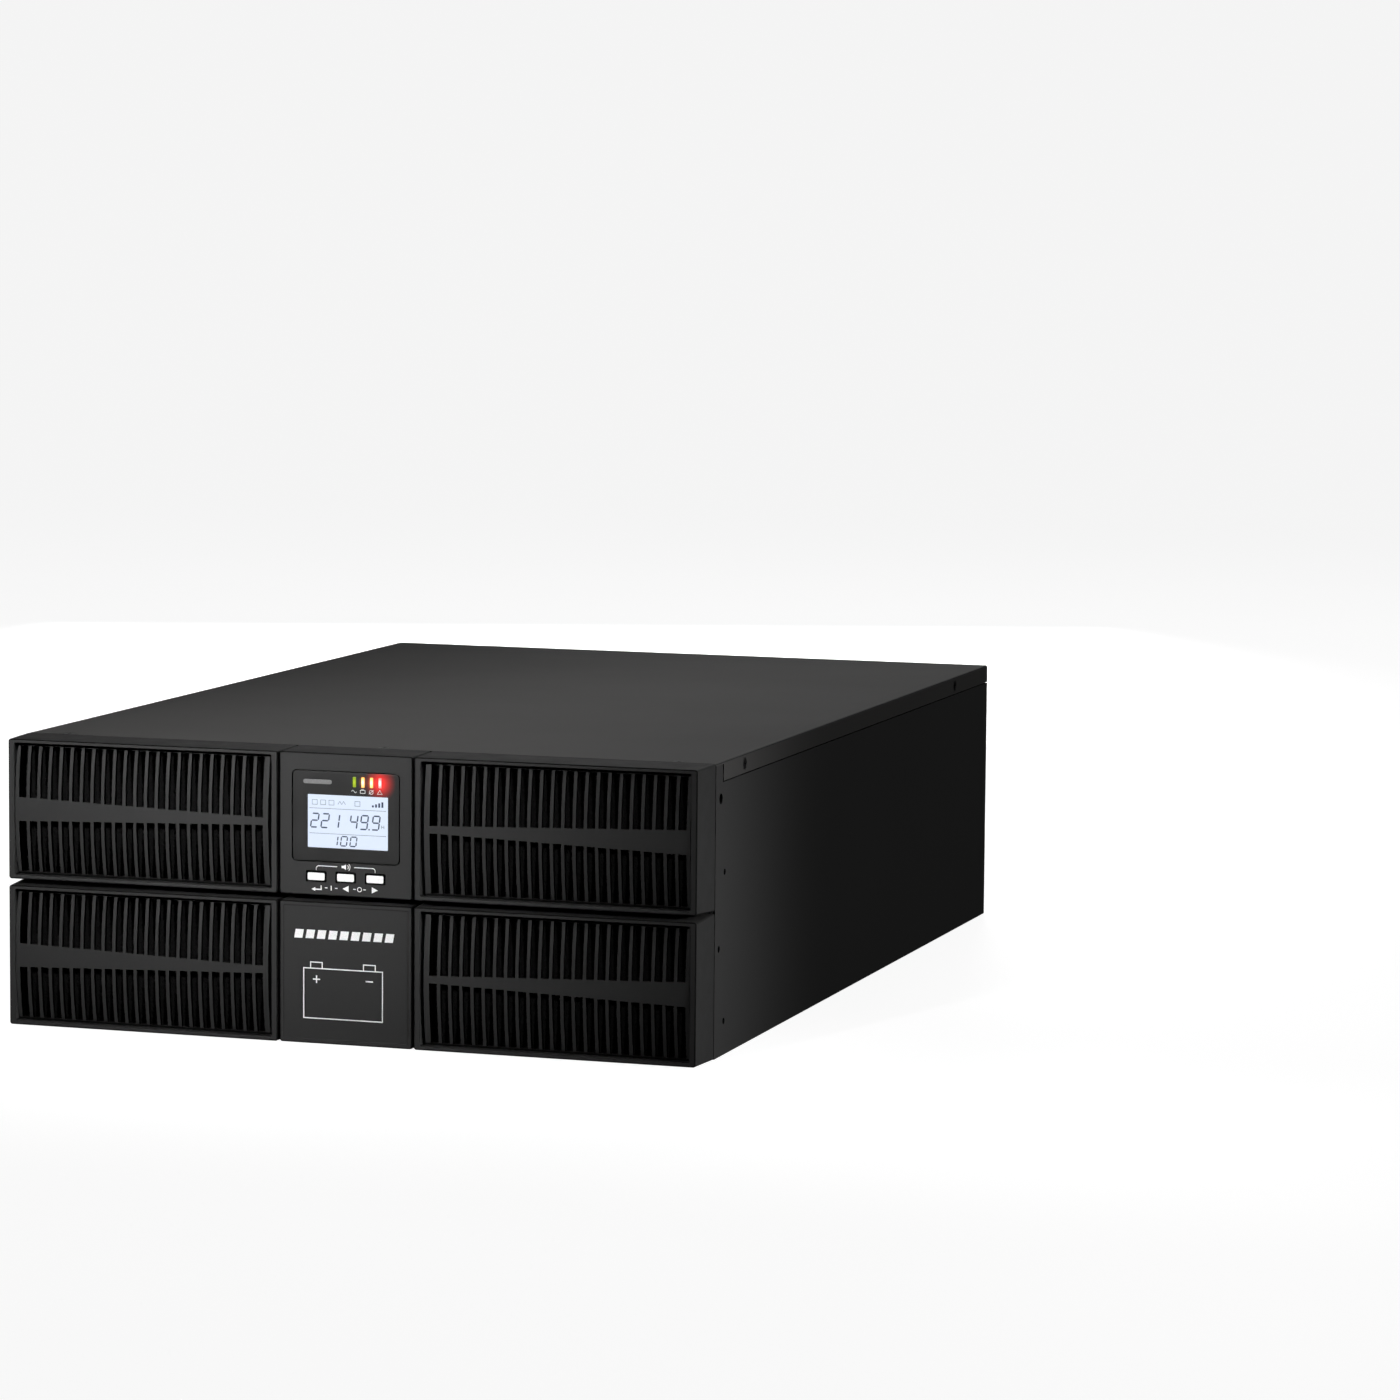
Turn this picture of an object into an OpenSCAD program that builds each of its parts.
// Rack-mount uninterruptible power supply, four rack units high, with its battery inside.
// Millimetres. +X is right seen from the front, -Y is the front, +Z is up.
// The origin is at the middle of the box, on the surface that the case rests on.

/* [Case] */
// Overall width of the steel case
case_w = 440; // [436:1:444]
// Overall height of the steel case
case_h = 175; // [174:0.5:177]
// Depth from the front rim of the bezels to the rear panel
case_d = 660; // [650:5:680]
// How far the terminal cover stands out behind the rear panel
terminal_proud = 8; // [7:0.5:9]
// Thickness of the steel sheet
sheet = 1.2; // [1:0.1:1.4]

/* [Front pieces] */
// Depth of the plastic front pieces
bezel_d = 30; // [28:1:32]
// Height of one front piece at its back edge
row_h = 87; // [86:0.5:87]
// Half width of the square centre panels
centre_half = 42.2; // [41.5:0.1:42.5]
// Gap between the centre panels and the grille bezels
bezel_gap = 1.2; // [1:0.1:1.4]
// How much smaller the front outline is than the back outline, at the sides and between the rows
draft = 1.5; // [1:0.1:1.8]
// How much lower the front outline is than the back outline at the top and bottom of the case
outer_draft = 0.3; // [0.2:0.1:0.6]
// Width of the rim at the left and right of each grille
rim = 4; // [3.5:0.1:4.5]
// Width of the rim above and below each grille
rim_z = 2.5; // [2.4:0.1:3]

/* [Grille] */
// Number of slots along each half of a grille
slot_count = 23; // [20:1:23]
// Distance from one slot to the next
slot_pitch = 7; // [6.8:0.1:7]
// Width of one slot
slot_w = 4.95; // [4.5:0.05:5.2]
// Half height of the middle bar at its inner end
bar_inner = 2.25; // [2:0.05:3]
// Half height of the middle bar at its outer end
bar_outer = 7.2; // [6:0.1:8]
// How far the grille's middle stands in front of its upper and lower edges
grille_bulge = 4; // [3:0.1:4]

/* [Controls] */
// How far a button travels
button_travel = 0.8; // [0.5:0.1:0.9]
// Width of a button
button_w = 11.5; // [10:0.1:12]
// Height of a button
button_h = 5.2; // [4.5:0.1:5.5]

/* [Battery] */
// Length of one battery block
cell_l = 151; // [150:0.5:152]
// Height of one battery block without its tabs
cell_h = 94; // [92:0.5:95]
// Thickness of one battery block
cell_t = 65; // [63:0.5:65]

/* [Fans] */
// Depth of the fan frame
fan_depth = 25; // [25:0.5:26]

/* [Hidden] */

$fn = 48;
eps = 0.01;

half_w = case_w / 2;
front_y = -(case_d + terminal_proud) / 2;
rear_y = front_y + case_d;
bezel_back_y = front_y + bezel_d;
case_front_y = bezel_back_y + 1.2;
plate_y = bezel_back_y + 1;
side_in = half_w - sheet;
plate_half_w = side_in - 1.6;
row_z = [case_h / 4 - 0.25, case_h * 3 / 4 + 0.25];
row_half = row_h / 2;
face_half = row_half - (draft + outer_draft) / 2;
hollow_half = face_half - 1.9;

// Top cover
flange_z = case_h - 11.5;
flange_front_y = front_y + 46;
joggle = 0.15;

// Grille bezels, right-hand side; the left ones are mirrored
bezel_in = centre_half + bezel_gap;
bezel_out_front = half_w - draft;
wall = 2.2;
open_in = bezel_in + rim;
open_out = bezel_out_front - rim;
open_half_z = face_half - rim_z;
slot_first = open_in + 5.5;
slot_tip_z = open_half_z - 1.9;
grille_r = (pow(open_half_z, 2) + pow(grille_bulge, 2)) / (2 * grille_bulge);
grille_t = 2.6;
grille_set = 0.4;
tunnel_y = front_y + 9;
filter_y = front_y + 10.5;
filter_t = 2;

// Snap clips shared by all the front pieces
clip_l = 5.5;
clip_size = [8, 2.4];
clip_hole = [10, 6];
clip_dz = 33;

// Control panel
panel_y = front_y + 0.5;
panel_wall = 2.6;
lens_half_x = 34.3;
lens_z = [109.5, 164.2];
lens_y = panel_y + 0.1;
lens_t = 1.2;
window_x = [-24.5, 26.6];
window_z = [118, 149.8];
led_x = [5.3, 10.7, 16.1, 21.5];
led_z = 158.1;
led_size = [2, 6];
button_x = [-18.7, 0, 18.7];
button_z = 100.8;
button_face_y = front_y + 0.1;
board_y = front_y + 14;

// Rack-ear holes in the case sides: [distance behind the front rim, height, radius]
ear_pitch = 88.9;
ear_holes = [[41, 153.4, 3.15], [49.5, 20.2 + ear_pitch, 2], [39, 153.4 - ear_pitch, 2], [49.5, 20.2, 2]];
ear_boss_r = 4.6;
ear_boss_l = 3;

// Screws
cover_screw_x = [-195, 10, 195];
cover_screw_y = front_y + 37;
flange_screw_y = [front_y + 88, rear_y - 88];
flange_screw_z = 169;
screw_r = 1.9;
screw_hole_r = 2.05;
head_r = 3.6;
screw_l = 8;

// Battery bay
cell_pitch_x = 104;
cell_pitch_y = cell_l + 2.5;
cell_x0 = -2 * cell_pitch_x;
cell_y0 = plate_y + 5;
cell_z0 = sheet;
tab_l = 6.3;
tab_inset = 9;
clamp_z = cell_z0 + cell_t + 0.2;
shelf_z = 86.5;
shelf_rear_y = rear_y - 40;

// Electronics bay
board_z = shelf_z + sheet + 8;
board_t = 1.6;
board_x = 205;
board_front_y = front_y + 75;
board_rear_y = rear_y - 65;
part_z = board_z + board_t;
heatsink_x = [-120, 40];
heatsink_w = 56;
choke_at = [104, -150, part_z + 33];
choke_pitch = 75;
choke_r = [22, 10.5];

// Rear panel fittings
panel_in_y = rear_y - sheet;
corner_screw_x = half_w - 9;
corner_screw_z = [8, case_h - 9];
panel_hole_r = 1.7;
fan_side = 80;
fan_x = [78, 160];
fan_z = row_z[1];
fan_screw = 35.7;
fan_bore_r = 38;
rotor_r = 36.8;
hub_r = 17;
pin_r = 1.5;
breaker_size = [20, 40, 36];
toggle_r = 6.5;
toggle_y = rear_y - 3.2;
toggle_pin_r = 1.2;
running_gap = 0.06;
toggle_rest = 25;
input_breaker_at = [-66, 109];
battery_breaker_at = [168, 43];
socket_at = [124, 43];
terminal_x = [-212, -124];
terminal_z = [93, 170];
terminal_mid_x = (terminal_x[0] + terminal_x[1]) / 2;
card_x = [-112, -20];
card_z = [132, 170];
usb_at = [14, 158];
serial_at = [14, 133];
serial_screw_dx = 12.5;
shutdown_at = [14, 106];
stud_at = [-200, 20];
vent_rows = 3;
vent_count = 14;

function vent_x(i) = -170 + i * 16;

// Height of the middle of a front face, for the row at height z
function face_z(z) = z + (z > case_h / 2 ? 1 : -1) * (draft - outer_draft) / 2;

// ---------- helpers ----------

// A box from its low corner to its high corner
module box(low, high) {
    translate(low) cube(high - low);
}

// A rounded rectangle, centred
module rounded_outline(size, r) {
    square([size[0] - 2 * r, size[1]], center = true);
    square([size[0], size[1] - 2 * r], center = true);
    for (sx = [-1, 1], sz = [-1, 1]) {
        translate([sx * (size[0] / 2 - r), sz * (size[1] / 2 - r)]) circle(r);
    }
}

// A shape drawn in X and Z, extruded along +Y from y0 to y1
module along_y(y0, y1) {
    translate([0, y1, 0]) rotate([90, 0, 0]) linear_extrude(y1 - y0) children();
}

// A shape drawn in Y and Z, extruded along +X from x0 to x1
module along_x(x0, x1) {
    translate([x0, 0, 0]) rotate([90, 0, 90]) linear_extrude(x1 - x0) children();
}

// A block that narrows from its back edge to its front face
module drafted_block(back_x, back_z, front_x, front_z, y0, y1) {
    intersection() {
        translate([0, 0, back_z[0]]) linear_extrude(back_z[1] - back_z[0])
            polygon([[back_x[0], y1], [back_x[1], y1], [front_x[1], y0], [front_x[0], y0]]);
        along_x(back_x[0], back_x[1])
            polygon([[y1, back_z[0]], [y1, back_z[1]], [y0, front_z[1]], [y0, front_z[0]]]);
    }
}

// Copies its children to both sides of the case
module both_sides() {
    children();
    mirror([1, 0, 0]) children();
}

// A countersunk screw with its head at the origin and its shank down -Z
module countersunk_screw(l) {
    difference() {
        union() {
            translate([0, 0, -1.2]) cylinder(h = 1.2, r1 = screw_r, r2 = head_r);
            translate([0, 0, -l]) cylinder(h = l - 1.1, r = screw_r);
        }
        for (a = [0, 90]) {
            rotate([0, 0, a]) translate([-1.7, -0.35, -0.8]) cube([3.4, 0.7, 1]);
        }
    }
}

// The matching countersunk hole
module countersink() {
    translate([0, 0, -1.2]) cylinder(h = 1.2 + eps, r1 = screw_hole_r, r2 = head_r + 0.15);
    translate([0, 0, -4]) cylinder(h = 4, r = screw_hole_r);
}

// A pan-head screw with the head's underside at the origin, its shank down -Y
module pan_screw(r, l) {
    rotate([-90, 0, 0]) difference() {
        union() {
            cylinder(h = 1.8, r = r * 1.9);
            translate([0, 0, -l]) cylinder(h = l + eps, r = r);
        }
        for (a = [0, 90]) {
            rotate([0, 0, a]) translate([-r * 1.1, -0.35, 0.9]) cube([r * 2.2, 0.7, 1]);
        }
    }
}

// ---------- steel case ----------

// Where the cover's screws sit: heads at the outer faces
module at_cover_screws() {
    for (x = cover_screw_x) {
        translate([x, cover_screw_y, case_h]) children();
    }
    for (y = flange_screw_y) {
        both_sides() translate([half_w, y, flange_screw_z]) rotate([0, 90, 0]) children();
    }
}

module chassis_tray() {
    color("#262627") difference() {
        union() {
            // floor and side walls
            box([-half_w, case_front_y, 0], [half_w, rear_y, sheet]);
            both_sides() box([side_in, case_front_y, 0], [half_w, rear_y, flange_z - 0.7]);
            // full-height strip in front of the cover's flange
            both_sides() box([side_in, case_front_y, 0],
                [half_w, flange_front_y - 1.6, case_h - sheet - joggle]);
            // stepped-in top edge that the cover's flange lies over
            both_sides() {
                box([side_in - sheet - joggle, case_front_y, flange_z - 3],
                    [side_in - joggle, rear_y, case_h - sheet - joggle]);
                box([side_in - sheet - joggle, case_front_y, flange_z - 3],
                    [side_in + eps, rear_y, flange_z - 0.7]);
            }
            // inward lip that carries the cover's front screws
            box([-side_in, case_front_y + 1.9, case_h - 2 * sheet - joggle],
                [side_in, front_y + 45, case_h - sheet - joggle]);
            // corner tabs that the rear panel is screwed to
            both_sides() for (z = corner_screw_z) {
                box([side_in - 16, panel_in_y - sheet - 0.05, z - 5],
                    [side_in + eps, panel_in_y - 0.05, z + 5]);
            }
            // pressed nuts behind the rack-ear holes
            both_sides() for (h = ear_holes) {
                translate([half_w - ear_boss_l, front_y + h[0], h[1]]) rotate([0, 90, 0])
                    cylinder(h = ear_boss_l - eps, r = ear_boss_r);
            }
        }
        both_sides() for (h = ear_holes) {
            translate([half_w - ear_boss_l - 1, front_y + h[0], h[1]]) rotate([0, 90, 0])
                cylinder(h = ear_boss_l + 2, r = h[2]);
        }
        at_cover_screws() translate([0, 0, -12]) cylinder(h = 13, r = screw_hole_r);
        both_sides() for (z = corner_screw_z) {
            translate([corner_screw_x, rear_y, z]) rotate([90, 0, 0]) cylinder(h = 5, r = panel_hole_r);
        }
    }
}

module top_cover() {
    bend_r = 1.6;
    color("#3a3a3b") difference() {
        along_y(bezel_back_y + 0.9, rear_y) difference() {
            translate([0, case_h - 12]) rounded_outline([case_w, 24], bend_r);
            translate([0, case_h - 12 - sheet]) rounded_outline([case_w - 2 * sheet, 24], bend_r - sheet);
            translate([-half_w - 1, case_h - 30]) square([case_w + 2, 30 - case_h + flange_z]);
        }
        // the flanges start behind the front corner
        both_sides() box([side_in - 1, bezel_back_y - 1, flange_z - 1],
            [half_w + 1, flange_front_y, case_h - sheet - joggle]);
        at_cover_screws() countersink();
    }
}

module front_plate() {
    vent = [7, 22];
    color("#1b1b1c") difference() {
        box([-plate_half_w, plate_y, sheet + 0.1],
            [plate_half_w, plate_y + sheet, case_h - 2 * sheet - joggle - 0.1]);
        // air inlets behind the four grilles
        both_sides() for (z = row_z, i = [0 : 13], k = [-1, 0, 1]) {
            translate([62 + i * 11, plate_y - 1, z + k * 21 - 8]) cube([6, sheet + 2, 16]);
        }
        // holes that the snap clips of the front pieces go through
        for (z = row_z, k = [-1, 1], x = clip_columns()) {
            translate([x - clip_hole[0] / 2, plate_y - 1, z + k * clip_dz - clip_hole[1] / 2])
                cube([clip_hole[0], sheet + 2, clip_hole[1]]);
        }
        // cable way behind the control panel
        box([-22, plate_y - 1, row_z[1] - 14], [22, plate_y + sheet + 1, row_z[1] + 14]);
    }
}

function clip_columns() = [-209, -50, -34, 34, 50, 209];

module rear_panel() {
    color("#2b2b2c") difference() {
        box([-plate_half_w, panel_in_y, sheet + 0.1],
            [plate_half_w, rear_y, case_h - sheet - joggle - 0.1]);
        // fan bores and their screw holes
        for (x = fan_x) {
            translate([x, rear_y + 1, fan_z]) rotate([90, 0, 0]) cylinder(h = sheet + 2, r = fan_bore_r);
            for (sx = [-1, 1], sz = [-1, 1]) {
                translate([x + sx * fan_screw, rear_y + 1, fan_z + sz * fan_screw]) rotate([90, 0, 0])
                    cylinder(h = sheet + 2, r = screw_hole_r);
            }
        }
        for (at = [input_breaker_at, battery_breaker_at]) {
            box([at[0] - 10.2, panel_in_y - 1, at[1] - 20.2], [at[0] + 10.2, rear_y + 1, at[1] + 20.2]);
        }
        box([socket_at[0] - 18.2, panel_in_y - 1, socket_at[1] - 12.2],
            [socket_at[0] + 18.2, rear_y + 1, socket_at[1] + 12.2]);
        box([terminal_x[0] + 6, panel_in_y - 1, terminal_z[0] + 16],
            [terminal_x[1] - 6, rear_y + 1, terminal_z[1] - 16]);
        box([card_x[0] + 8, panel_in_y - 1, card_z[0] + 4], [card_x[1] - 8, rear_y + 1, card_z[1] - 4]);
        box([usb_at[0] - 6.2, panel_in_y - 1, usb_at[1] - 5.6],
            [usb_at[0] + 6.2, rear_y + 1, usb_at[1] + 5.6]);
        box([serial_at[0] - 10, panel_in_y - 1, serial_at[1] - 5.5],
            [serial_at[0] + 10, rear_y + 1, serial_at[1] + 5.5]);
        box([shutdown_at[0] - 6.3, panel_in_y - 1, shutdown_at[1] - 4.2],
            [shutdown_at[0] + 6.3, rear_y + 1, shutdown_at[1] + 4.2]);
        // battery bay vents
        for (i = [0 : vent_count - 1], k = [0 : vent_rows - 1]) {
            box([vent_x(i), panel_in_y - 1, 14 + k * 21], [vent_x(i) + 6, rear_y + 1, 29 + k * 21]);
        }
        translate([stud_at[0], rear_y + 1, stud_at[1]]) rotate([90, 0, 0]) cylinder(h = sheet + 2, r = 2.6);
        for (at = rear_screw_spots()) {
            translate([at[0], rear_y + 1, at[1]]) rotate([90, 0, 0])
                cylinder(h = sheet + 2, r = panel_hole_r);
        }
    }
}

// Screws in the rear panel: [x, z]
function rear_screw_spots() = concat(
    [for (sx = [-1, 1], z = corner_screw_z) [sx * corner_screw_x, z]],
    [for (x = [card_x[0] + 3.6, card_x[1] - 3.6]) [x, (card_z[0] + card_z[1]) / 2]],
    [for (z = [terminal_z[0] + 6, terminal_z[1] - 6]) [terminal_mid_x, z]],
    [for (sx = [-1, 1]) [serial_at[0] + sx * serial_screw_dx, serial_at[1]]]
);

module mid_shelf() {
    color("#8d9092") difference() {
        union() {
            box([-side_in + 0.1, plate_y + sheet + 1, shelf_z],
                [side_in - 0.1, shelf_rear_y, shelf_z + sheet]);
            both_sides() box([side_in - 0.1 - sheet, plate_y + 12, shelf_z - 10],
                [side_in - 0.1, shelf_rear_y, shelf_z + 0.1]);
        }
        // cable way between the bays
        box([-40, shelf_rear_y - 22, shelf_z - 1], [40, shelf_rear_y - 4, shelf_z + sheet + 1]);
    }
}

module cover_screws() {
    color("#1a1a1a") at_cover_screws() translate([0, 0, -0.05]) countersunk_screw(screw_l);
}

module rear_screws() {
    color("#3b3b3c") {
        for (at = rear_screw_spots()) {
            translate([at[0], rear_y + screw_seat(at) + 0.02, at[1]]) pan_screw(1.5, 6);
        }
        for (x = fan_x, sx = [-1, 1], sz = [-1, 1]) {
            translate([x + sx * fan_screw, rear_y + 1.3, fan_z + sz * fan_screw]) pan_screw(1.8, 10);
        }
    }
}

// Thickness of what a rear screw clamps, outside the rear panel
function screw_seat(at) =
    at[0] == terminal_mid_x ? sheet
    : at[0] > card_x[0] && at[0] < card_x[1] ? sheet
    : abs(at[0] - serial_at[0]) < 14 ? 0.8
    : 0;

// ---------- front pieces ----------

// Four snap clips at the back of a front piece, reaching back from y0
module snap_clips(columns, z, y0) {
    for (x = columns, k = [-1, 1]) {
        translate([x - clip_size[0] / 2, y0, z + k * clip_dz - clip_size[1] / 2])
            cube([clip_size[0], bezel_back_y + clip_l - y0, clip_size[1]]);
        translate([x - clip_size[0] / 2, bezel_back_y + clip_l - 2, z + k * clip_dz + (k > 0 ? 0 : -1.8)])
            cube([clip_size[0], 2, 1.8]);
    }
}

module right_bezel_shape(z) {
    f = face_z(z);
    difference() {
        drafted_block([bezel_in - 0.5, half_w], [z - row_half, z + row_half],
            [bezel_in, bezel_out_front], [f - face_half, f + face_half],
            front_y, bezel_back_y);
        // hollow from the back
        box([bezel_in + 1.9, front_y + wall, f - hollow_half],
            [bezel_out_front - 1.9, bezel_back_y + 1, f + hollow_half]);
        // opening for the grille
        box([open_in, front_y - 1, f - open_half_z], [open_out, front_y + wall + 1, f + open_half_z]);
    }
    // tunnel wall that holds the grille and the dust filter
    difference() {
        box([open_in - 1.5, front_y + wall - 0.2, f - open_half_z - 1.5],
            [open_out + 1.5, tunnel_y + 4.5, f + open_half_z + 1.5]);
        box([open_in, front_y, f - open_half_z], [open_out, tunnel_y + 5, f + open_half_z]);
    }
    // clips run back from the front wall, outside the tunnel
    for (x = [50, 209]) {
        snap_clips([x], z, tunnel_y + 5.5);
        for (k = [-1, 1]) {
            box([x - 4, tunnel_y + 5.5, min(z + k * clip_dz, f + k * hollow_half) - 1],
                [x + 4, bezel_back_y, max(z + k * clip_dz, f + k * hollow_half) + 1]);
        }
    }
}

module right_grille_shape(row) {
    z = face_z(row);
    x0 = open_in + 0.3;
    x1 = open_out - 0.3;
    hollow_x = [slot_first - 0.6, x1 - 2];
    difference() {
        // solid behind an arc across the height
        intersection() {
            grille_arc(z, grille_r);
            box([x0, front_y, z - open_half_z + 0.3], [x1, tunnel_y, z + open_half_z - 0.3]);
        }
        // hollow that leaves the face plate and a frame round it
        intersection() {
            grille_arc(z, grille_r - grille_t);
            box([hollow_x[0], front_y, z - slot_tip_z - 0.6],
                [hollow_x[1], tunnel_y + 1, z + slot_tip_z + 0.6]);
        }
        // step beside the inner edge
        box([x0 - 1, front_y - 1, z - open_half_z], [x0 + 1.8, tunnel_y - 2.6, z + open_half_z]);
        for (i = [0 : slot_count - 1]) {
            grille_slot(i, z, 1);
            grille_slot(i, z, -1);
        }
    }
}

// Everything behind the grille's arc
module grille_arc(z, r) {
    translate([half_w, front_y + grille_set + grille_r, z]) rotate([0, -90, 0])
        cylinder(h = half_w - 10, r = r, $fn = 360);
}

// One slot, above (side 1) or below (side -1) the middle bar
module grille_slot(i, z, side) {
    bar = bar_inner + (bar_outer - bar_inner) * i / (slot_count - 1);
    x = slot_first + i * slot_pitch;
    low = side > 0 ? z + bar : z - slot_tip_z;
    high = side > 0 ? z + slot_tip_z : z - bar;
    box([x, front_y - 1, low], [x + slot_w, front_y + 20, high]);
}

module right_filter_shape(row) {
    z = face_z(row);
    box([open_in + 0.2, filter_y, z - open_half_z + 0.2],
        [open_out - 0.2, filter_y + filter_t, z + open_half_z - 0.2]);
}

module upper_right_bezel() { color("#2d2d2e") right_bezel_shape(row_z[1]); }
module lower_right_bezel() { color("#2d2d2e") right_bezel_shape(row_z[0]); }
module upper_left_bezel() { color("#2d2d2e") mirror([1, 0, 0]) right_bezel_shape(row_z[1]); }
module lower_left_bezel() { color("#2d2d2e") mirror([1, 0, 0]) right_bezel_shape(row_z[0]); }
module upper_right_grille() { color("#303031") right_grille_shape(row_z[1]); }
module lower_right_grille() { color("#303031") right_grille_shape(row_z[0]); }
module upper_left_grille() { color("#303031") mirror([1, 0, 0]) right_grille_shape(row_z[1]); }
module lower_left_grille() { color("#303031") mirror([1, 0, 0]) right_grille_shape(row_z[0]); }
module upper_right_filter() { color("#0c0c0c") right_filter_shape(row_z[1]); }
module lower_right_filter() { color("#0c0c0c") right_filter_shape(row_z[0]); }
module upper_left_filter() { color("#0c0c0c") mirror([1, 0, 0]) right_filter_shape(row_z[1]); }
module lower_left_filter() { color("#0c0c0c") mirror([1, 0, 0]) right_filter_shape(row_z[0]); }

// Square shell shared by the control panel and the battery label panel
module centre_shell(z) {
    f = face_z(z);
    difference() {
        drafted_block([-centre_half - 0.2, centre_half + 0.2], [z - row_half, z + row_half],
            [-centre_half, centre_half], [f - face_half, f + face_half],
            panel_y, bezel_back_y);
        box([-centre_half + 1.8, panel_y + panel_wall, f - hollow_half],
            [centre_half - 1.8, bezel_back_y + 1, f + hollow_half]);
    }
    snap_clips([-34, 34], z, panel_y + panel_wall - 0.1);
}

module control_panel() {
    color("#2d2d2e") difference() {
        centre_shell(row_z[1]);
        // shallow seat for the lens
        along_y(panel_y - 1, lens_y + lens_t)
            translate([0, (lens_z[0] + lens_z[1]) / 2])
            rounded_outline([2 * lens_half_x, lens_z[1] - lens_z[0]], 3);
        box([window_x[0] - 1.5, panel_y - 1, window_z[0] - 1.5],
            [window_x[1] + 1.5, panel_y + panel_wall + 1, window_z[1] + 1.5]);
        for (x = led_x) {
            box([x - led_size[0] / 2 - 0.2, panel_y - 1, led_z - led_size[1] / 2 - 0.2],
                [x + led_size[0] / 2 + 0.2, panel_y + panel_wall + 1, led_z + led_size[1] / 2 + 0.2]);
        }
        for (x = button_x) {
            box([x - button_w / 2 - 0.7, panel_y - 1, button_z - button_h / 2 - 0.7],
                [x + button_w / 2 + 0.7, panel_y + panel_wall + 1, button_z + button_h / 2 + 0.7]);
        }
    }
}

module display_lens() {
    color("#343435") difference() {
        along_y(lens_y, lens_y + lens_t)
            translate([0, (lens_z[0] + lens_z[1]) / 2])
            rounded_outline([2 * lens_half_x - 0.5, lens_z[1] - lens_z[0] - 0.5], 2.75);
        box([window_x[0], panel_y - 1, window_z[0]], [window_x[1], lens_y + lens_t + 1, window_z[1]]);
        for (x = led_x) {
            box([x - led_size[0] / 2 - 0.1, panel_y - 1, led_z - led_size[1] / 2 - 0.1],
                [x + led_size[0] / 2 + 0.1, lens_y + lens_t + 1, led_z + led_size[1] / 2 + 0.1]);
        }
    }
}

module display_module() {
    color("#dfe9f8") {
        box([window_x[0] - 1.2, lens_y + lens_t + 0.05, window_z[0] - 1.2],
            [window_x[1] + 1.2, panel_y + panel_wall + 0.5, window_z[1] + 1.2]);
        box([window_x[0] - 4, panel_y + panel_wall + 0.2, window_z[0] - 5],
            [window_x[1] + 4, board_y, window_z[1] + 3]);
    }
}

module light_pipes() {
    color("#ffb347") for (x = led_x) {
        box([x - led_size[0] / 2, lens_y + 0.1, led_z - led_size[1] / 2],
            [x + led_size[0] / 2, board_y, led_z + led_size[1] / 2]);
    }
}

module control_board() {
    color("#1f5a35") {
        box([-29.5, board_y, 93], [29.5, board_y + 1.6, 168]);
        // tactile switches behind the buttons
        for (x = button_x) {
            box([x - 3, board_y - 3.5, button_z - 3], [x + 3, board_y + eps, button_z + 3]);
        }
        // plug for the panel's lead
        box([-12, board_y + 1.6 - eps, 96], [12, board_y + 9, 102]);
    }
}

// A button cap with a guide flange behind the panel wall
module button_cap(x) {
    box([x - button_w / 2, button_face_y, button_z - button_h / 2],
        [x + button_w / 2, panel_y + panel_wall + 1.5, button_z + button_h / 2]);
    box([x - button_w / 2 - 1.8, panel_y + panel_wall + 0.3, button_z - button_h / 2 - 1.5],
        [x + button_w / 2 + 1.8, panel_y + panel_wall + 1.6, button_z + button_h / 2 + 1.5]);
    // plunger that meets the tactile switch at full travel
    box([x - 1.5, panel_y + panel_wall + 1.4, button_z - 1.5],
        [x + 1.5, board_y - 3.5 - button_travel - 0.1, button_z + 1.5]);
}

module enter_button() { color("#f2f2f2") button_cap(button_x[0]); }
module left_button() { color("#f2f2f2") button_cap(button_x[1]); }
module right_button() { color("#f2f2f2") button_cap(button_x[2]); }

module battery_label_panel() {
    color("#2d2d2e") centre_shell(row_z[0]);
}

// ---------- battery ----------

// One sealed battery block lying on its side, its lid and tabs facing +X
module battery_block(x, y) {
    lid_l = 8;
    box([x, y, cell_z0], [x + cell_h - lid_l, y + cell_l, cell_z0 + cell_t]);
    box([x + cell_h - lid_l - eps, y + 1, cell_z0 + 1], [x + cell_h, y + cell_l - 1, cell_z0 + cell_t - 1]);
    for (ty = [tab_inset, cell_l - tab_inset]) {
        box([x + cell_h - eps, y + ty - 2.4, cell_z0 + 14],
            [x + cell_h + tab_l, y + ty + 2.4, cell_z0 + 14.8]);
    }
}

// One row of blocks across the case
module battery_row(row, count) {
    color("#2c2f33") for (i = [0 : count - 1]) {
        battery_block(cell_x0 + i * cell_pitch_x, cell_y0 + row * cell_pitch_y);
    }
}

module battery_row_1() { battery_row(0, 4); }
module battery_row_2() { battery_row(1, 4); }
module battery_row_3() { battery_row(2, 4); }
// the last row leaves a corner free for the battery breaker and the outside socket
module battery_row_4() { battery_row(3, 3); }

// Straps that join each block to the one behind it
module battery_links() {
    color("#b5552d") for (i = [0 : 3], row = [0 : (i == 3 ? 1 : 2)]) {
        x = cell_x0 + i * cell_pitch_x + cell_h + 1.5;
        y0 = cell_y0 + row * cell_pitch_y + cell_l - tab_inset - 2.4;
        y1 = cell_y0 + (row + 1) * cell_pitch_y + tab_inset + 2.4;
        box([x, y0, cell_z0 + 14.85], [x + tab_l - 1.5, y1, cell_z0 + 15.65]);
    }
}

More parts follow.
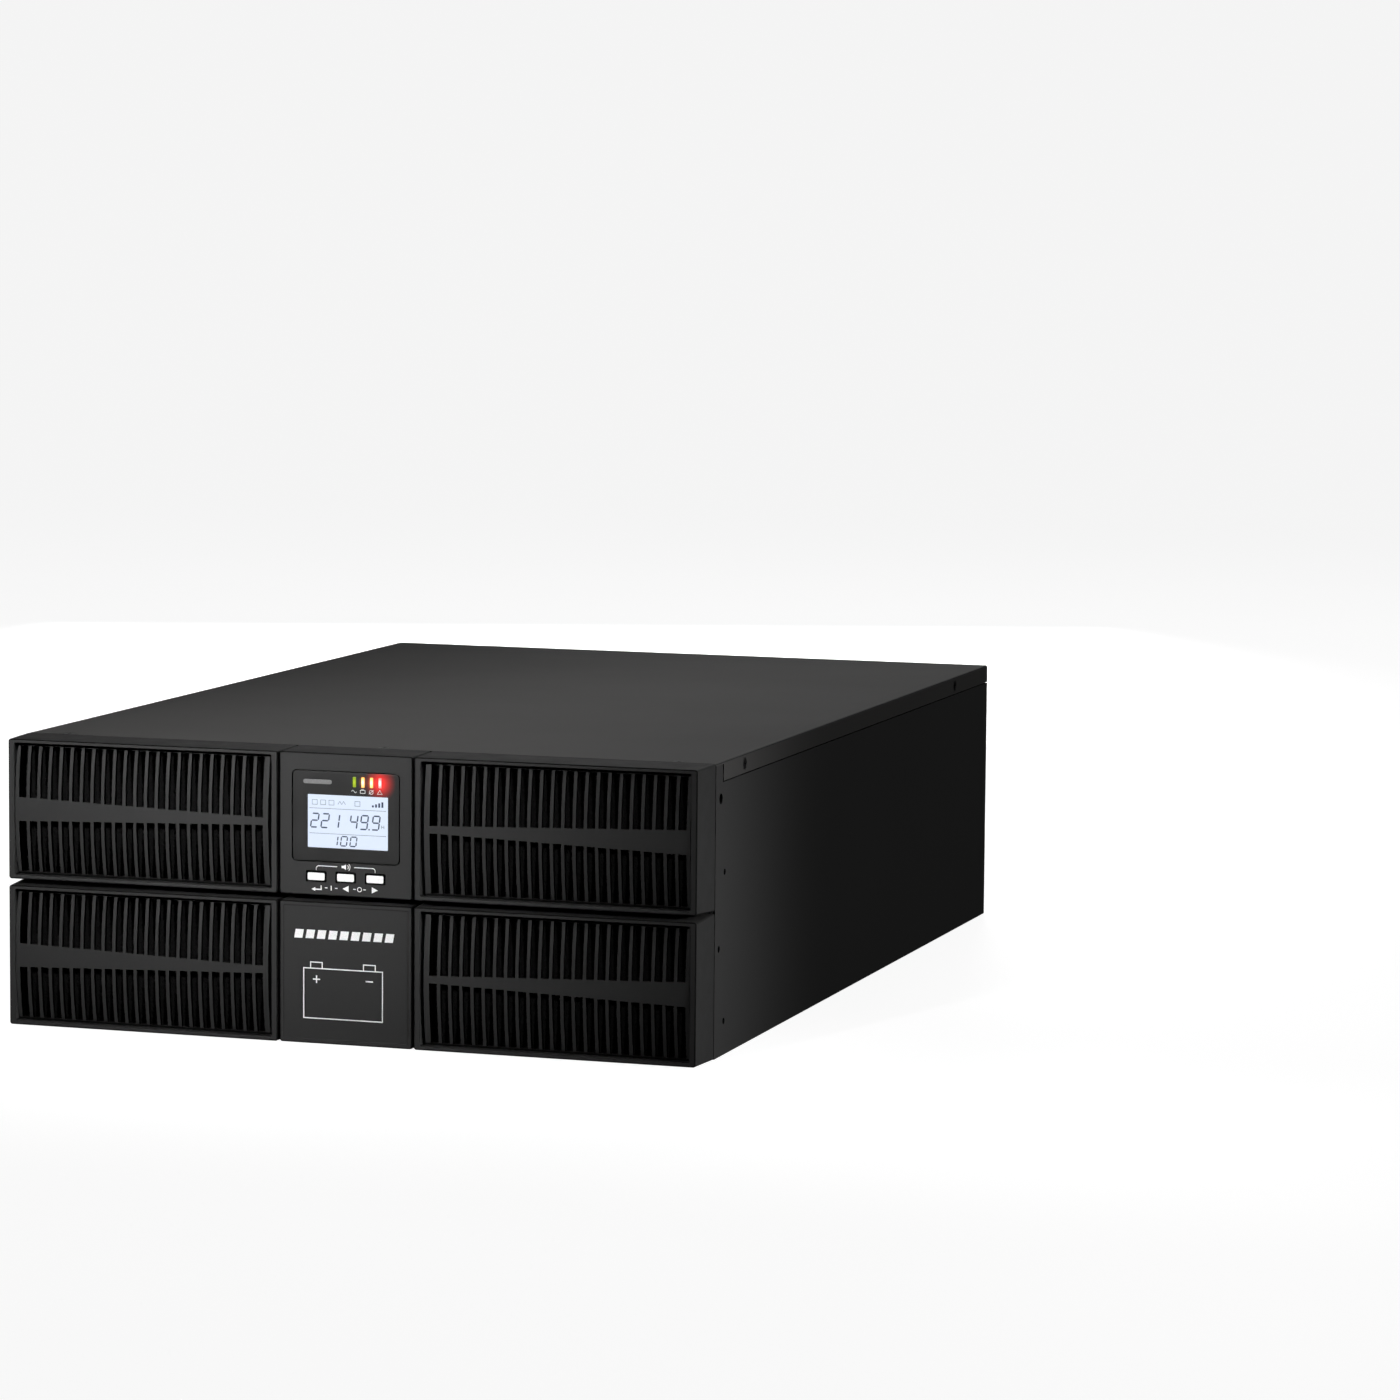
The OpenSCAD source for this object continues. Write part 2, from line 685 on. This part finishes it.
// Channels that hold the battery rows down
module battery_clamps() {
    color("#9a9d9f") for (row = [0 : 2]) {
        y = cell_y0 + row * cell_pitch_y + cell_l + 1.25;
        box([-side_in + 0.1, y - 12, clamp_z], [side_in - 0.1, y + 12, clamp_z + sheet]);
        for (s = [-1, 1]) {
            box([-side_in + 0.1, y + s * 11.4 - 0.6, clamp_z],
                [side_in - 0.1, y + s * 11.4 + 0.6, clamp_z + 7]);
        }
    }
}

// ---------- electronics ----------

function standoff_spots() = [
    for (x = [-195, 0, 195], y = [board_front_y + 10, 0, board_rear_y - 10]) [x, y]
];

module power_board() {
    color("#1f5a35") difference() {
        box([-board_x, board_front_y, board_z], [board_x, board_rear_y, board_z + board_t]);
        for (at = standoff_spots()) {
            translate([at[0], at[1], board_z - 1]) cylinder(h = board_t + 2, r = 1.7);
        }
    }
}

module board_standoffs() {
    color("#c9a24a") for (at = standoff_spots()) {
        translate([at[0], at[1], shelf_z + sheet]) cylinder(h = 8, r = 3.2, $fn = 6);
        translate([at[0], at[1], shelf_z + sheet]) cylinder(h = 8 + board_t, r = 1.6);
        translate([at[0], at[1], board_z + board_t]) cylinder(h = 2, r = 3);
    }
}

// Finned extrusion along Y
module heatsink(x, y0, y1) {
    base = 6;
    fin_count = 8;
    fin_h = 52;
    width = heatsink_w;
    translate([x - width / 2, 0, 0]) {
        box([0, y0, part_z + 1], [width, y1, part_z + 1 + base]);
        for (i = [0 : fin_count - 1]) {
            fin_x = i * (width - 1.6) / (fin_count - 1);
            box([fin_x, y0, part_z + base], [fin_x + 1.6, y1, part_z + fin_h]);
        }
        // feet on the board
        for (y = [y0 + 4, y1 - 10]) {
            box([0, y, part_z], [width, y + 6, part_z + 1 + eps]);
        }
    }
}

module heatsinks() {
    color("#b9bcc0") {
        for (x = heatsink_x) {
            heatsink(x, -190, 130);
        }
    }
}

module power_transistors() {
    color("#141414") for (mid = heatsink_x, side = [-1, 1], i = [0 : 5]) {
        x = mid + side * heatsink_w / 2;
        y = -170 + i * 50;
        box([min(x, x + side * 5), y, part_z + 8], [max(x, x + side * 5), y + 16, part_z + 28]);
        for (k = [3, 8, 13]) {
            box([x + side * 2 - 0.6, y + k - 0.6, part_z],
                [x + side * 2 + 0.6, y + k + 0.6, part_z + 8 + eps]);
        }
    }
}

module bus_capacitors() {
    color("#20324f") for (i = [0 : 3], k = [0, 1]) {
        translate([-66 + k * 38, -150 + i * 40, part_z]) cylinder(h = 50, r = 17.5);
    }
}

// Copies its child to the middle of each choke
module at_chokes() {
    for (i = [0 : 2]) {
        translate(choke_at + [0, i * choke_pitch, 0]) children();
    }
}

module chokes() {
    color("#9a5a22") at_chokes() rotate([90, 0, 0])
        rotate_extrude() translate([choke_r[0], 0]) circle(choke_r[1]);
    // cradle under each ring
    color("#33302c") at_chokes() difference() {
        box([-16, -15, part_z - choke_at[2]], [16, 15, part_z - choke_at[2] + 8]);
        rotate([90, 0, 0]) rotate_extrude() translate([choke_r[0], 0]) circle(choke_r[1] + 0.1);
    }
}

module charger_transformer() {
    color("#2b2b30") {
        box([150, -150, part_z], [192, -112, part_z + 12]);
        box([150, -150, part_z + 30], [192, -112, part_z + 42]);
        box([150, -150, part_z], [158, -112, part_z + 42]);
        box([184, -150, part_z], [192, -112, part_z + 42]);
    }
    color("#d9c04a") box([158 - eps, -154, part_z + 12 - eps], [184 + eps, -108, part_z + 30 + eps]);
}

module relays() {
    color("#111111") for (i = [0 : 3]) {
        box([150, -60 + i * 40, part_z], [180, -60 + i * 40 + 26, part_z + 22]);
    }
}

module logic_board() {
    color("#235c8a") {
        box([-190, board_front_y + 6, part_z], [-60, board_front_y + 7.6, part_z + 48]);
        for (i = [0 : 3]) {
            box([-180 + i * 30, board_front_y + 7.6 - eps, part_z + 12],
                [-164 + i * 30, board_front_y + 9.4, part_z + 28]);
        }
    }
}

// ---------- fans ----------

module fan_frame(x) {
    y0 = panel_in_y - fan_depth;
    color("#161616") difference() {
        union() {
            difference() {
                translate([x, 0, fan_z]) along_y(y0, panel_in_y) rounded_outline([fan_side, fan_side], 4);
                translate([x, y0 - 1, fan_z]) rotate([-90, 0, 0])
                    cylinder(h = fan_depth + 2, r = fan_bore_r, $fn = 96);
            }
            // motor plate on four struts, at the rear face
            translate([x, panel_in_y - 3.5, fan_z]) rotate([-90, 0, 0]) cylinder(h = 3.5, r = hub_r);
            for (a = [45 : 90 : 315]) {
                translate([x, 0, fan_z]) rotate([0, a, 0])
                    box([hub_r - 2, panel_in_y - 3.5, -1.6], [fan_bore_r + 1, panel_in_y, 1.6]);
            }
            // spindle
            translate([x, y0 + 8, fan_z]) rotate([-90, 0, 0]) cylinder(h = fan_depth - 9, r = pin_r);
        }
        for (sx = [-1, 1], sz = [-1, 1]) {
            translate([x + sx * fan_screw, y0 - 1, fan_z + sz * fan_screw]) rotate([-90, 0, 0])
                cylinder(h = fan_depth + 2, r = screw_hole_r);
        }
    }
}

module left_fan_frame() { fan_frame(fan_x[0]); }
module right_fan_frame() { fan_frame(fan_x[1]); }

module fan_rotor(x) {
    y0 = panel_in_y - fan_depth + 2;
    y1 = panel_in_y - 4.3;
    blades = 7;
    color("#1c1c1c") difference() {
        union() {
            translate([x, y0, fan_z]) rotate([-90, 0, 0]) cylinder(h = y1 - y0, r = hub_r);
            intersection() {
                for (b = [0 : blades - 1]) {
                    translate([x, (y0 + y1) / 2, fan_z]) rotate([0, b * 360 / blades, 0])
                        rotate([38, 0, 0]) cube([2 * rotor_r, 1.6, 24]);
                }
                translate([x, y0, fan_z]) rotate([-90, 0, 0]) cylinder(h = y1 - y0, r = rotor_r, $fn = 96);
            }
        }
        translate([x, y0 - 1, fan_z]) rotate([-90, 0, 0])
            cylinder(h = y1 - y0 + 2, r = pin_r + running_gap);
    }
}

module left_fan_rotor() { fan_rotor(fan_x[0]); }
module right_fan_rotor() { fan_rotor(fan_x[1]); }

module fan_guards() {
    wire = 0.8;
    color("#c4c6c8") for (x = fan_x) {
        for (r = [8 : 7 : 36]) {
            translate([x, rear_y + 1.7, fan_z]) rotate([90, 0, 0])
                rotate_extrude($fn = 72) translate([r, 0]) circle(wire, $fn = 16);
        }
        for (a = [45 : 90 : 315]) {
            translate([x, rear_y + 0.8, fan_z]) rotate([0, a, 0]) difference() {
                box([6, -0.78, -0.8], [fan_screw * sqrt(2) + 3.6, 0.45, 0.8]);
                box([fan_screw * sqrt(2) - 3, -1, -2], [fan_screw * sqrt(2) + 4, 1, 2]);
            }
        }
        // flat eyes under the screws
        for (sx = [-1, 1], sz = [-1, 1]) {
            translate([x + sx * fan_screw, rear_y + 0.02, fan_z + sz * fan_screw]) rotate([-90, 0, 0])
                difference() {
                    cylinder(h = 1.25, r = 3.4);
                    translate([0, 0, -1]) cylinder(h = 4, r = screw_hole_r);
                }
        }
    }
}

// ---------- rear fittings ----------

module breaker(at) {
    color("#151515") difference() {
        union() {
            box([at[0] - 10, rear_y - breaker_size[2], at[1] - 20], [at[0] + 10, rear_y + 0.1, at[1] + 20]);
            box([at[0] - 12.5, rear_y + 0.02, at[1] - 22.5], [at[0] + 12.5, rear_y + 2, at[1] + 22.5]);
        }
        // slot for the toggle
        box([at[0] - 4, toggle_y - toggle_r - 1, at[1] - toggle_r - 3],
            [at[0] + 4, rear_y + 3, at[1] + toggle_r + 3]);
    }
    color("#bfc2c4") translate([at[0] - 5, toggle_y, at[1]]) rotate([0, 90, 0])
        cylinder(h = 10, r = toggle_pin_r);
}

module toggle(at) {
    color("#e9e9e6") difference() {
        union() {
            translate([at[0] - 3.6, toggle_y, at[1]]) rotate([0, 90, 0]) cylinder(h = 7.2, r = toggle_r);
            translate([at[0], toggle_y, at[1]]) rotate([toggle_rest, 0, 0])
                box([-3.6, 0, -2.2], [3.6, 10.5, 2.2]);
        }
        translate([at[0] - 6, toggle_y, at[1]]) rotate([0, 90, 0])
            cylinder(h = 12, r = toggle_pin_r + running_gap);
    }
}

module input_breaker() { breaker(input_breaker_at); }
module battery_breaker() { breaker(battery_breaker_at); }
module input_toggle() { toggle(input_breaker_at); }
module battery_toggle() { toggle(battery_breaker_at); }

// Two-pole power socket for an outside battery case
module battery_socket() {
    x = socket_at[0];
    z = socket_at[1];
    color("#7d7f82") difference() {
        union() {
            box([x - 18, rear_y - 26, z - 12], [x + 18, rear_y + 0.1, z + 12]);
            box([x - 22, rear_y + 0.02, z - 15], [x + 22, rear_y + 2.5, z + 15]);
        }
        for (s = [-1, 1]) {
            box([x + s * 8 - 6.5, rear_y - 18, z - 8], [x + s * 8 + 6.5, rear_y + 4, z + 8]);
        }
    }
    color("#c7c9cb") for (s = [-1, 1]) {
        box([x + s * 8 - 4.5, rear_y - 18.01, z - 1], [x + s * 8 + 4.5, rear_y - 3, z + 1]);
    }
}

module terminal_block() {
    x0 = terminal_x[0] + 8;
    pitch = 12;
    color("#0f0f10") difference() {
        box([x0, rear_y - 24, terminal_z[0] + 18],
            [x0 + 6 * pitch, rear_y + 2, terminal_z[1] - 18]);
        for (i = [0 : 5]) {
            box([x0 + i * pitch + 1, rear_y - 4, terminal_z[0] + 22],
                [x0 + (i + 1) * pitch - 1, rear_y + 3, terminal_z[1] - 22]);
        }
    }
    color("#c7c9cb") for (i = [0 : 5], z = [terminal_z[0] + 28, terminal_z[1] - 28]) {
        translate([x0 + (i + 0.5) * pitch, rear_y - 4.01, z]) rotate([-90, 0, 0])
            cylinder(h = 3.5, r = 3.4);
    }
}

module terminal_cover() {
    color("#2b2b2c") difference() {
        union() {
            difference() {
                box([terminal_x[0] + 3, rear_y + 0.02, terminal_z[0] + 12],
                    [terminal_x[1] - 3, rear_y + terminal_proud, terminal_z[1] - 12]);
                box([terminal_x[0] + 3 + sheet, rear_y - 1, terminal_z[0] + 12 + sheet],
                    [terminal_x[1] - 3 - sheet, rear_y + terminal_proud - sheet,
                     terminal_z[1] - 12 - sheet]);
            }
            // fixing tabs
            x = terminal_mid_x;
            box([x - 12, rear_y + 0.02, terminal_z[0]], [x + 12, rear_y + sheet, terminal_z[0] + 12 + eps]);
            box([x - 12, rear_y + 0.02, terminal_z[1] - 12 - eps], [x + 12, rear_y + sheet, terminal_z[1]]);
        }
        for (at = rear_screw_spots()) {
            translate([at[0], rear_y + sheet + 1, at[1]]) rotate([90, 0, 0])
                cylinder(h = sheet + 2, r = panel_hole_r);
        }
        // two cable entries
        for (s = [-1, 1]) {
            translate([terminal_mid_x + s * 20, rear_y + 4, row_z[1]]) rotate([-90, 0, 0])
                cylinder(h = 8, r = 11);
        }
    }
}

module card_slot_cover() {
    color("#8f9294") difference() {
        box([card_x[0], rear_y + 0.02, card_z[0]], [card_x[1], rear_y + sheet, card_z[1]]);
        for (at = rear_screw_spots()) {
            translate([at[0], rear_y + sheet + 1, at[1]]) rotate([90, 0, 0])
                cylinder(h = sheet + 2, r = panel_hole_r);
        }
    }
}

module usb_port() {
    x = usb_at[0];
    z = usb_at[1];
    color("#c7c9cb") difference() {
        box([x - 6, rear_y - 16, z - 5.4], [x + 6, rear_y + 0.8, z + 5.4]);
        box([x - 4.3, rear_y - 9, z - 3.9], [x + 4.3, rear_y + 2, z + 3.9]);
    }
    color("#e8e8e8") box([x - 2.6, rear_y - 9.01, z - 1.5], [x + 2.6, rear_y - 1, z + 1.5]);
}

module serial_port() {
    x = serial_at[0];
    z = serial_at[1];
    color("#c7c9cb") difference() {
        union() {
            box([x - 15.5, rear_y + 0.02, z - 6.2], [x + 15.5, rear_y + 0.8, z + 6.2]);
            box([x - 9.5, rear_y - 10, z - 5.2], [x + 9.5, rear_y + 5.5, z + 5.2]);
        }
        box([x - 8.3, rear_y - 4, z - 4], [x + 8.3, rear_y + 7, z + 4]);
        for (s = [-1, 1]) {
            translate([x + s * serial_screw_dx, rear_y - 1, z]) rotate([-90, 0, 0])
                cylinder(h = 3, r = panel_hole_r);
        }
    }
    color("#1c2f66") box([x - 7.6, rear_y - 4.01, z - 3.3], [x + 7.6, rear_y - 1.5, z + 3.3]);
}

// Two-way plug-in contact for remote shutdown
module shutdown_port() {
    x = shutdown_at[0];
    z = shutdown_at[1];
    color("#2f7d3b") difference() {
        box([x - 6.1, rear_y - 12, z - 4], [x + 6.1, rear_y + 1, z + 4]);
        for (s = [-1, 1]) {
            box([x + s * 2.8 - 2.2, rear_y - 8, z - 2.8], [x + s * 2.8 + 2.2, rear_y + 3, z + 2.8]);
        }
    }
    color("#c7c9cb") for (s = [-1, 1]) {
        box([x + s * 2.8 - 0.5, rear_y - 8.01, z - 0.5], [x + s * 2.8 + 0.5, rear_y - 1.5, z + 0.5]);
    }
}

module ground_stud() {
    color("#d0b25a") translate([stud_at[0], 0, stud_at[1]]) {
        along_y_cylinder(rear_y - 4, rear_y + 7.5, 2.5);
        along_y_cylinder(rear_y + 0.02, rear_y + 2.6, 4.6, 6);
        along_y_cylinder(rear_y - 3.8, panel_in_y - 0.02, 4.6, 6);
    }
}

// A cylinder along +Y from y0 to y1
module along_y_cylinder(y0, y1, r, sides = 48) {
    translate([0, y0, 0]) rotate([-90, 0, 0]) cylinder(h = y1 - y0, r = r, $fn = sides);
}

chassis_tray();
top_cover();
front_plate();
rear_panel();
mid_shelf();
cover_screws();
rear_screws();
upper_left_bezel();
upper_left_grille();
upper_left_filter();
upper_right_bezel();
upper_right_grille();
upper_right_filter();
lower_left_bezel();
lower_left_grille();
lower_left_filter();
lower_right_bezel();
lower_right_grille();
lower_right_filter();
control_panel();
display_lens();
display_module();
light_pipes();
control_board();
enter_button();
left_button();
right_button();
battery_label_panel();
battery_row_1();
battery_row_2();
battery_row_3();
battery_row_4();
battery_links();
battery_clamps();
power_board();
board_standoffs();
heatsinks();
power_transistors();
bus_capacitors();
chokes();
charger_transformer();
relays();
logic_board();
left_fan_frame();
right_fan_frame();
left_fan_rotor();
right_fan_rotor();
fan_guards();
input_breaker();
input_toggle();
battery_breaker();
battery_toggle();
battery_socket();
terminal_block();
terminal_cover();
card_slot_cover();
usb_port();
serial_port();
shutdown_port();
ground_stud();
